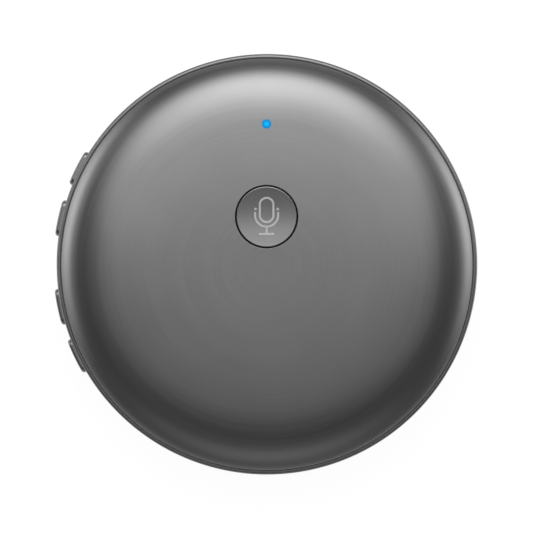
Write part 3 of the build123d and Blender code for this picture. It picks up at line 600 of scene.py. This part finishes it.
def make_case():
    """The bowl without its holes."""
    outline = [(GROOVE_IN_R, CASE_BASE_Z), (GROOVE_IN_R, GROOVE_Z), (GROOVE_OUT_R, GROOVE_Z)]
    outline.append((GROOVE_OUT_R, CASE_BASE_Z))
    outline += curve(*BOWL_OUTSIDE, steps=28)
    outline += arc((BODY_R - RIM_ROUND, RIM_Z - RIM_ROUND), RIM_ROUND, 0, 90, steps=10)
    outline += [(RIM_INNER_R + RIM_EDGE, RIM_Z), (RIM_INNER_R, RIM_Z - RIM_EDGE), (RIM_INNER_R, LEDGE_Z)]
    outline.append((CASE_WALL_R, LEDGE_Z))
    outline += curve(*BOWL_INSIDE, steps=12)
    outline.append((GROOVE_IN_R, FLOOR_Z))
    shape = turned(outline, closed=False)
    bmesh.ops.holes_fill(shape, edges=[edge for edge in shape.edges if edge.is_boundary], sides=0)
    bmesh.ops.recalc_face_normals(shape, faces=shape.faces)
    return shape


print("case wall", round(BODY_R - CASE_WALL_R, 2), "mm thick")

# %% [markdown]
# The slots for the keys and the port are stadiums in a curved wall, and each has a fine chamfer
# where it meets the outside. A straight cutter would make that chamfer uneven, because the wall
# curves away from it. So a cutter is made flat first: a circle is pulled apart into a stadium,
# extruded, and swelled at its outer end. Then it is stood up and bent round the puck's axis, and
# its outer end follows the wall.

# %% Stadium tools


def stadium(half_line, radius, arc_steps=24):
    """One flat stadium-shaped face, long along Y, as a new shape."""
    shape = bmesh.new()
    bmesh.ops.create_circle(shape, cap_ends=True, radius=radius, segments=2 * arc_steps)
    turn_by(shape, 90 / arc_steps, "Z")
    for vert in shape.verts:
        vert.co.y += half_line if vert.co.y > 0 else -half_line
    return shape


def raised(shape, face, distance):
    """Extrude a face upwards and return the new end face."""
    grown = bmesh.ops.extrude_face_region(shape, geom=[face])["geom"]
    verts = [part for part in grown if isinstance(part, bmesh.types.BMVert)]
    bmesh.ops.translate(shape, verts=verts, vec=(0, 0, distance))
    bmesh.ops.delete(shape, geom=[face], context="FACES_ONLY")
    return next(part for part in grown if isinstance(part, bmesh.types.BMFace))


def swelled(verts, half_line, amount):
    """Move a stadium's points away from its middle line, or towards it."""
    for vert in verts:
        spine_y = max(-half_line, min(half_line, vert.co.y))
        vert.co += Vector((vert.co.x, vert.co.y - spine_y, 0)).normalized() * amount


def capped(shape):
    """Close the open foot of a raised shape."""
    bmesh.ops.holes_fill(shape, edges=[edge for edge in shape.edges if edge.is_boundary], sides=0)
    bmesh.ops.recalc_face_normals(shape, faces=shape.faces)
    return shape


def sliced(shape, normal, places):
    """Cut a shape across at these places along a direction, so that it can bend."""
    for place in places:
        geometry = list(shape.verts) + list(shape.edges) + list(shape.faces)
        middle = Vector(normal) * place
        bmesh.ops.bisect_plane(shape, geom=geometry, plane_co=middle, plane_no=normal, dist=WELD)
    return shape


def bent(shape, radius, half_length, bends=7):
    """Stand a flat shape up so that its top faces outwards, and wrap it round the puck's axis."""
    turn_by(shape, 90, "Y")
    sliced(shape, (0, 1, 0), [half_length * step / bends for step in range(1 - bends, bends)])
    for vert in shape.verts:
        vert.co.x += sqrt(radius**2 - vert.co.y**2)
    return shape


print("stadium points", len(stadium(1, 1).verts))

# %% [markdown]
# The keys sit at the angles that their joints point along. The speaker's holes are one in the
# middle and three rings round it, a pattern that any drill table can follow. All the cutters go
# into one boolean.

# %% Cutters of the case
KEY_HALF_LINE, KEY_END_R, KEY_Z = 2.1, 1.2, 6.9
KEY_GAP = 0.15
KEY_CHAMFER, PORT_CHAMFER = 0.1, 0.2
FLARE = 0.6  # a slot's cutter goes on widening for this much outside the wall
PORT_HALF_LINE, PORT_END_R, PORT_Z = 2.9, 1.75, 6.8
SPEAKER_Y = -13.5
GRILLE_PITCH = 2.15
GRILLE_HOLE_R = 0.5
MIC_ANGLES, MIC_Z, MIC_HOLE_R = (90, 288), 6.65, 0.5
SCREW_CIRCLE_R = 26.5
SCREW_ANGLES = (30, 150, 210, 330)
SCREW_HOLE_R, SCREW_SINK_R = 0.9, 1.62
DEEP = 3.0  # a cutter reaches this far into the wall
CUT_LOW_Z, CUT_HIGH_Z = 0.2, FLOOR_Z + 1  # and from below the floor to above it
SINK_LOW_Z = GROOVE_Z - 0.2
key_joints = {joint["child"]: joint for joint in frame["joints"] if joint["child"] != "talk_button"}
key_axes = {key: joint["axis"] for key, joint in key_joints.items()}
KEY_ANGLES = {key: degrees(atan2(-axis[1], -axis[0])) for key, axis in key_axes.items()}


def slot_cutter(half_line, radius, chamfer, angle, height):
    """A stadium cutter through the case's wall, flared where it leaves the outside."""
    shape = moved(stadium(half_line, radius), z=-DEEP)
    front = raised(shape, next(iter(shape.faces)), DEEP - chamfer)
    for step in (chamfer, FLARE):
        front = raised(shape, front, step)
        swelled(front.verts, half_line, step)
    return moved(bent(capped(shape), BODY_R, half_line + radius), z=height, turn=angle)


def grille_centres():
    """One hole in the middle, then three rings of 6, 12 and 18."""
    centres = [(0.0, 0.0)]
    for ring in (1, 2, 3):
        holes = 6 * ring
        turns = [tau * step / holes for step in range(holes)]
        centres += [(GRILLE_PITCH * ring * cos(turn), GRILLE_PITCH * ring * sin(turn)) for turn in turns]
    return centres


def screw_cutter(angle):
    """Countersunk screw hole in the foot's groove."""
    neck_z = GROOVE_Z + SCREW_SINK_R - SCREW_HOLE_R
    outline = [(0, SINK_LOW_Z), (SCREW_SINK_R, SINK_LOW_Z), (SCREW_SINK_R, GROOVE_Z)]
    outline += [(SCREW_HOLE_R, neck_z), (SCREW_HOLE_R, CUT_HIGH_Z), (0, CUT_HIGH_Z)]
    return moved(turned(outline, closed=False, steps=32), x=SCREW_CIRCLE_R, turn=angle)


cutters = [slot_cutter(PORT_HALF_LINE, PORT_END_R, PORT_CHAMFER, -90, PORT_Z)]
for angle in KEY_ANGLES.values():
    cutters.append(slot_cutter(KEY_HALF_LINE, KEY_END_R + KEY_GAP, KEY_CHAMFER, angle, KEY_Z))
for angle in MIC_ANGLES:
    cutters.append(moved(turn_by(pin(MIC_HOLE_R, -DEEP, DEEP), 90, "Y"), x=BODY_R, z=MIC_Z, turn=angle))
cutters += [moved(pin(GRILLE_HOLE_R, CUT_LOW_Z, CUT_HIGH_Z), x=x, y=SPEAKER_Y + y)
            for x, y in grille_centres()]
cutters += [screw_cutter(angle) for angle in SCREW_ANGLES]
print("cutters", len(cutters), "keys at", {key: round(angle, 1) for key, angle in KEY_ANGLES.items()})
case_shape = combined(make_case(), gathered(cutters), "DIFFERENCE")
finish_piece("case_shell", case_shape, "housing", "case_metal", ["lower_case"])

# %% [markdown]
# ## The side keys
# A key is a small stadium of metal in its slot. Its face is parallel to the wall, 0.7 mm proud of
# it, and its edge is rounded. Behind the wall a wider flange keeps it in, and a boss reaches its
# switch. The flange and the key are raised one from the other, the bevel operator rounds the face,
# and the whole is bent round the axis in the same way as its slot.

# %% Keys
KEY_FACE_R = 38.7
KEY_ROUND = 0.5
FLANGE_BACK_R, FLANGE_FRONT_R = 35.7, 36.45
FLANGE_WIDER = 0.4
BOSS_TIP_R, BOSS_Z = 34.05, 7.3
BOSS_LENGTH, BOSS_HEIGHT, BOSS_SINK = 2.0, 1.0, 0.3  # sunk in the flange, so that they join


def make_key(angle):
    shape = stadium(KEY_HALF_LINE, KEY_END_R + FLANGE_WIDER)
    bmesh.ops.translate(shape, verts=shape.verts, vec=(0, 0, FLANGE_BACK_R - KEY_FACE_R))
    front = raised(shape, next(iter(shape.faces)), FLANGE_FRONT_R - FLANGE_BACK_R)
    front = raised(shape, front, 0.0)
    swelled(front.verts, KEY_HALF_LINE, -FLANGE_WIDER)
    front = raised(shape, front, KEY_FACE_R - FLANGE_FRONT_R)
    bmesh.ops.bevel(
        shape, geom=list(front.edges), affect="EDGES", offset=KEY_ROUND, segments=8, profile=0.5, material=-1
    )
    key = bent(capped(shape), KEY_FACE_R, KEY_HALF_LINE + KEY_END_R + FLANGE_WIDER)
    boss = bmesh.new()
    bmesh.ops.create_cube(boss, size=1)
    reach = FLANGE_FRONT_R - BOSS_SINK - BOSS_TIP_R
    bmesh.ops.scale(boss, verts=boss.verts, vec=(reach, BOSS_LENGTH, BOSS_HEIGHT))
    bmesh.ops.translate(boss, verts=boss.verts, vec=(BOSS_TIP_R + reach / 2, 0, BOSS_Z - KEY_Z))
    return moved(combined(key, boss, "UNION"), z=KEY_Z, turn=angle)


for key, angle in KEY_ANGLES.items():
    finish_piece(key + "_cap", make_key(angle), key, "key_metal", [key + "_key"])

# %% [markdown]
# ## The talk button
# The cap is a turned disc with a shallow spherical dish for the thumb. Its rim has a narrow sloped
# lip that catches the light, then a small round down to its side. The underside is hollow.

# %% Button cap
CAP_R = BUTTON_R + 0.04  # leaves an even seam of 0.26 mm in the cover's hole
CAP_ROUND = 0.06
LIP_TILT = radians(24)
DISH_DEPTH = 0.42
DISH_R = CAP_R - 0.12
CAP_BORE_R = 4.7
CAP_BORE_Z = CROWN_Z - 1.1
SPHERE_R = (DISH_R**2 + DISH_DEPTH**2) / (2 * DISH_DEPTH)
DISH_STEPS = 20


def dish_height(radius):
    """Height of the dish at a distance from the button's own axis."""
    return BUTTON_TOP_Z - DISH_DEPTH + SPHERE_R - sqrt(SPHERE_R**2 - radius**2)


def make_cap():
    radii = [DISH_R * step / DISH_STEPS for step in range(DISH_STEPS + 1)]
    outline = [(radius, dish_height(radius)) for radius in radii]
    lip_width = CAP_R - CAP_ROUND * (1 - sin(LIP_TILT)) - DISH_R
    round_z = BUTTON_TOP_Z - lip_width * tan(LIP_TILT) - CAP_ROUND * cos(LIP_TILT)
    outline += arc((CAP_R - CAP_ROUND, round_z), CAP_ROUND, 90 - degrees(LIP_TILT), 0, steps=5)
    outline += [(CAP_R, LAND_Z), (CAP_BORE_R, LAND_Z), (CAP_BORE_R, CAP_BORE_Z), (0, CAP_BORE_Z)]
    return moved(turned(outline, closed=False, steps=160), y=BUTTON_Y)


finish_piece("talk_cap", make_cap(), "talk_button", "button_metal", ["mic_button"])

# %% [markdown]
# The sign on the button is a plain outline of a microphone, printed in pale ink. Its strokes are
# drawn flat first. The capsule is a stadium face whose rim is kept by an inset, and the cradle is
# one short edge that is extruded down, spun half a turn and extruded up again. Dots, a stem and a
# foot finish it.

# %% Strokes of the microphone sign
STROKE = 0.36
CAPSULE_R, CAPSULE_HALF_LINE, CAPSULE_Y = 1.41, 0.95, 1.23
CRADLE_R, CRADLE_Y, CRADLE_LEG = 2.08, 0.29, 0.56  # middle of its stroke, centre and straight part
DOT_R, DOT_X, DOT_Y = 0.235, 2.0, 1.39
STEM_LOW_Y = -2.95
FOOT_HALF, FOOT_Y, FOOT_HALF_THICK = 1.42, -3.09, 0.19


def capsule():
    """The ring of the microphone's head."""
    shape = moved(stadium(CAPSULE_HALF_LINE, CAPSULE_R), y=CAPSULE_Y)
    head = next(iter(shape.faces))
    bmesh.ops.inset_region(shape, faces=[head], thickness=STROKE, use_even_offset=True, use_boundary=True)
    bmesh.ops.delete(shape, geom=[head], context="FACES_ONLY")
    return shape


def cradle():
    """The U under the head."""
    shape = bmesh.new()
    top = CRADLE_Y + CRADLE_LEG
    verts = [shape.verts.new((-CRADLE_R + across, top, 0)) for across in (-STROKE / 2, STROKE / 2)]
    edge = shape.edges.new(verts)
    for drop in (-CRADLE_LEG, None, CRADLE_LEG):
        if drop is None:
            grown = bmesh.ops.spin(shape, geom=[edge, *edge.verts], cent=(0, CRADLE_Y, 0), axis=(0, 0, 1),
                                   angle=pi, steps=40)["geom_last"]
        else:
            grown = bmesh.ops.extrude_edge_only(shape, edges=[edge])["geom"]
            ends = [part for part in grown if isinstance(part, bmesh.types.BMVert)]
            bmesh.ops.translate(shape, verts=ends, vec=(0, drop, 0))
        edge = next(part for part in grown if isinstance(part, bmesh.types.BMEdge))
    return shape


def dot(side):
    shape = bmesh.new()
    bmesh.ops.create_circle(shape, cap_ends=True, radius=DOT_R, segments=24)
    return moved(shape, x=side * DOT_X, y=DOT_Y)


def stem():
    shape = bmesh.new()
    bmesh.ops.create_grid(shape, x_segments=1, y_segments=1, size=0.5)
    length = CRADLE_Y - CRADLE_R - STEM_LOW_Y
    bmesh.ops.scale(shape, verts=shape.verts, vec=(STROKE, length, 1))
    return moved(shape, y=STEM_LOW_Y + length / 2)


foot_bar = turn_by(stadium(FOOT_HALF - FOOT_HALF_THICK, FOOT_HALF_THICK, arc_steps=8), 90, "Z")
sign_shape = gathered([capsule(), cradle(), dot(-1), dot(1), stem(), moved(foot_bar, y=FOOT_Y)])
print("strokes of the sign", len(sign_shape.faces), "faces")

# %% [markdown]
# A print follows the surface that it is on. The flat strokes are cut into small faces by crossing
# planes, so that they can bend, each point is laid on the dish by the dish's own formula, and an
# extrusion gives the ink its thickness.

# %% Lay the sign on the dish
INK_THICK = 0.02
CUT_STEP, CUTS = 0.4, 9  # to either side of the middle
cuts = [CUT_STEP * step for step in range(-CUTS, CUTS + 1)]
sliced(sliced(sign_shape, (1, 0, 0), cuts), (0, 1, 0), cuts)
for vert in sign_shape.verts:
    vert.co.z = dish_height(hypot(vert.co.x, vert.co.y)) - INK_THICK
printed = bmesh.ops.extrude_face_region(sign_shape, geom=list(sign_shape.faces))["geom"]
printed_verts = [part for part in printed if isinstance(part, bmesh.types.BMVert)]
bmesh.ops.translate(sign_shape, verts=printed_verts, vec=(0, 0, 2 * INK_THICK))
bmesh.ops.recalc_face_normals(sign_shape, faces=sign_shape.faces)
finish_piece("talk_sign", moved(sign_shape, y=BUTTON_Y), "talk_button", "printed_ink")

# %% [markdown]
# ## The status light
# The light pipe is a turned acrylic pin. Its domed tip sits just inside the cover's hole, a flange
# holds it against the inner frame, and its foot is over the lamp on the board.

# %% Light pipe
SEAT_Z = CROWN_Z - 3.6
PIPE_FLANGE_R, PIPE_STEM_R, PIPE_FOOT_R = 1.6, 1.2, 0.9
PIPE_FLANGE_TOP_Z = SEAT_Z + 0.6
PIPE_TAPER, PIPE_TAPER_RISE = 0.05, 0.4  # how much the stem narrows, and how far above its end
TIP_RISE = 0.12


def make_light():
    base = light_low.z
    outline = [(0, base), (PIPE_FOOT_R, base), (PIPE_STEM_R - PIPE_TAPER, base + PIPE_TAPER_RISE)]
    outline += [(PIPE_STEM_R, SEAT_Z), (PIPE_FLANGE_R, SEAT_Z)]
    outline += [(PIPE_FLANGE_R, PIPE_FLANGE_TOP_Z), (LIGHT_R, PIPE_FLANGE_TOP_Z)]
    sphere = (LIGHT_R**2 + TIP_RISE**2) / (2 * TIP_RISE)
    half = degrees(acos((sphere - TIP_RISE) / sphere))
    outline += arc((0, LIGHT_TIP_Z - sphere), sphere, 90 - half, 90, steps=8)
    return moved(turned(outline, closed=False, steps=64), y=LIGHT_Y)


finish_piece("light_pin", make_light(), "housing", "light_plastic", ["light_pipe"])

# %% [markdown]
# ## The rubber foot
# A ring of black rubber is pressed into the case's groove. Its edges are rounded by the mould, and
# eight shallow channels let the speaker's sound out.

# %% Foot ring
FOOT_R = (24.5, 28.5)
FOOT_ROUND = 0.3
CHANNELS = 8
CHANNEL_SIZE = (6.0, 3.0, 0.9)  # half of its height is in the rubber


def make_foot():
    inner, outer = FOOT_R
    outline = arc((inner + FOOT_ROUND, FOOT_ROUND), FOOT_ROUND, 180, 270, steps=5)
    outline += arc((outer - FOOT_ROUND, FOOT_ROUND), FOOT_ROUND, -90, 0, steps=5)
    outline += [(outer, FOOT_TOP_Z), (inner, FOOT_TOP_Z)]
    channels = []
    for number in range(CHANNELS):
        channel = bmesh.new()
        bmesh.ops.create_cube(channel, size=1)
        bmesh.ops.scale(channel, verts=channel.verts, vec=CHANNEL_SIZE)
        channels.append(moved(channel, x=SCREW_CIRCLE_R, turn=360 * number / CHANNELS))
    return combined(turned(outline), gathered(channels), "DIFFERENCE")


finish_piece("foot_bead", make_foot(), "housing", "black_rubber", ["foot_ring"])

# %% [markdown]
# ## Floor, light and camera
# The puck stands on white paper. The paper is a wide flat sheet, and it shows white to the camera
# and in the metal's reflections, while a small share of it is still lit like real paper, so that
# the puck keeps a faint shadow under it. It is one-sided: a look from below goes through it and
# finds the underside.

# %% Floor
PAPER_HALF_WIDTH = 4.0  # in metres
PAPER_Z = -0.01  # a hair under the foot, so that the two never share a plane
PAPER_GLOW = 0.92
PAPER_GLOW_STRENGTH = 1.04
floor_mesh = bpy.data.meshes.new("table")
floor_shape = bmesh.new()
bmesh.ops.create_grid(floor_shape, x_segments=1, y_segments=1, size=PAPER_HALF_WIDTH)
bmesh.ops.translate(floor_shape, verts=floor_shape.verts, vec=(0, 0, PAPER_Z * MM))
floor_shape.to_mesh(floor_mesh)
floor_shape.free()
floor = bpy.data.objects.new("table", floor_mesh)
scene.collection.objects.link(floor)

material, tree = new_material("white_paper")
path = add(tree, "LightPath").outputs
seen = add(tree, "Math", {0: path["Is Camera Ray"], 1: path["Is Glossy Ray"]}, operation="MAXIMUM")
seen = add(tree, "Math", {0: seen.outputs[0], 1: path["Is Transmission Ray"]}, operation="MAXIMUM")
paper = add(tree, "BsdfDiffuse", {"Color": hex_colour("#e8e8e8")})
glow = add(tree, "Emission", {"Strength": PAPER_GLOW_STRENGTH})
lifted = add(tree, "MixShader", {0: PAPER_GLOW, 1: paper.outputs[0], 2: glow.outputs[0]})
sheet = add(tree, "MixShader", {0: seen.outputs[0], 1: paper.outputs[0], 2: lifted.outputs[0]})
back = add(tree, "NewGeometry").outputs["Backfacing"]
shader = add(tree, "MixShader", {0: back, 1: sheet.outputs[0], 2: add(tree, "BsdfTransparent").outputs[0]})
add(tree, "OutputMaterial", {"Surface": shader.outputs[0]})
floor_mesh.materials.append(material)
print("paper", floor.dimensions[0], "m wide")

# %% [markdown]
# Metal shows what surrounds it, so the studio's lamps are drawn in the world, where their edges
# can be as soft as large silk panels have them. Each lamp is a soft ellipsoid of directions: where
# its middle is, how wide it is across, back and up, how much of it is even before it fades, and
# its strength. The studio is the same on the left and on the right.

# %% Studio world
ROOM = 0.19  # dim light from everywhere
LAMPS = {
    # name: (azimuth and elevation in degrees, (width across, back, up), even share, strength)
    "large panel, high at the back": (90, 41.9, (0.93, 1.11, 0.32), 0.15, 4.97),
    "ceiling": (-90, 83.9, (0.64, 0.35, 2.49), 0.80, 0.50),
    "strip across the ceiling": (90, 68.4, (2.00, 0.39, 0.20), 0.80, 1.44),
    "low panels at the sides": (16.6, 9.4, (0.52, 0.86, 0.18), 0.0, 5.94),
    "low reflector in front": (-90, 25.3, (0.92, 1.00, 0.27), 0.06, 0.67),
    "low strip at the back": (90, 0, (0.80, 0.50, 0.08), 0.3, 1.2),
}

world = bpy.data.worlds.new("studio")
world.use_nodes = True
tree = world.node_tree
tree.nodes.clear()
look = add(tree, "SeparateXYZ", {0: add(tree, "TexCoord").outputs["Generated"]})
side = add(tree, "Math", {0: look.outputs["X"]}, operation="ABSOLUTE")
folded = add(tree, "CombineXYZ", {"X": side.outputs[0], "Y": look.outputs["Y"], "Z": look.outputs["Z"]})
total = add(tree, "Math", {0: ROOM, 1: 0.0}, operation="ADD")
for azimuth, elevation, widths, even, strength in LAMPS.values():
    across, up = radians(azimuth), radians(elevation)
    middle = (abs(cos(across)) * cos(up), sin(across) * cos(up), sin(up))
    offset = add(tree, "VectorMath", {0: folded.outputs[0], 1: middle}, operation="SUBTRACT")
    scaled = add(tree, "VectorMath", {0: offset.outputs[0], 1: widths}, operation="DIVIDE")
    away = add(tree, "VectorMath", {0: scaled.outputs[0]}, operation="LENGTH")
    lamp = add(tree, "MapRange", {"Value": away.outputs["Value"], "From Min": even, "From Max": 1.0,
                                  "To Min": strength, "To Max": 0.0}, interpolation_type="SMOOTHSTEP")
    total = add(tree, "Math", {0: total.outputs[0], 1: lamp.outputs[0]}, operation="ADD")
shader = add(tree, "Background", {"Strength": total.outputs[0]})
add(tree, "OutputWorld", {"Surface": shader.outputs[0]})
scene.world = world
print("lamps in the studio", len(LAMPS))

# %% [markdown]
# The camera looks down from far above with a very long lens, so that the sides of the puck stay
# hidden, as in a catalogue picture. It hangs about a degree off the puck's axis, as a camera on a
# hand-set stand does, and that moves the crown by a tenth of a millimetre against the rim.

# %% Camera
CAMERA_PLACE = Vector((0.022, 0.04, 2.5))  # in metres
AIM = Vector((-0.072, -0.38, RIM_Z)) * MM
SENSOR = 36.0
VIEW_WIDTH = 96.27  # mm across the picture, at the height of the puck's rim
camera_data = bpy.data.cameras.new("camera")
camera_data.sensor_width = SENSOR
camera_data.lens = SENSOR * (CAMERA_PLACE - AIM).length / (VIEW_WIDTH * MM)
camera = bpy.data.objects.new("camera", camera_data)
camera.location = CAMERA_PLACE
gaze = (AIM - CAMERA_PLACE).normalized()
camera.rotation_euler = (asin(gaze.y), atan2(-gaze.x, -gaze.z), 0)
scene.collection.objects.link(camera)
scene.camera = camera
scene.view_settings.view_transform = "Standard"
print("lens", round(camera_data.lens, 1), "mm")
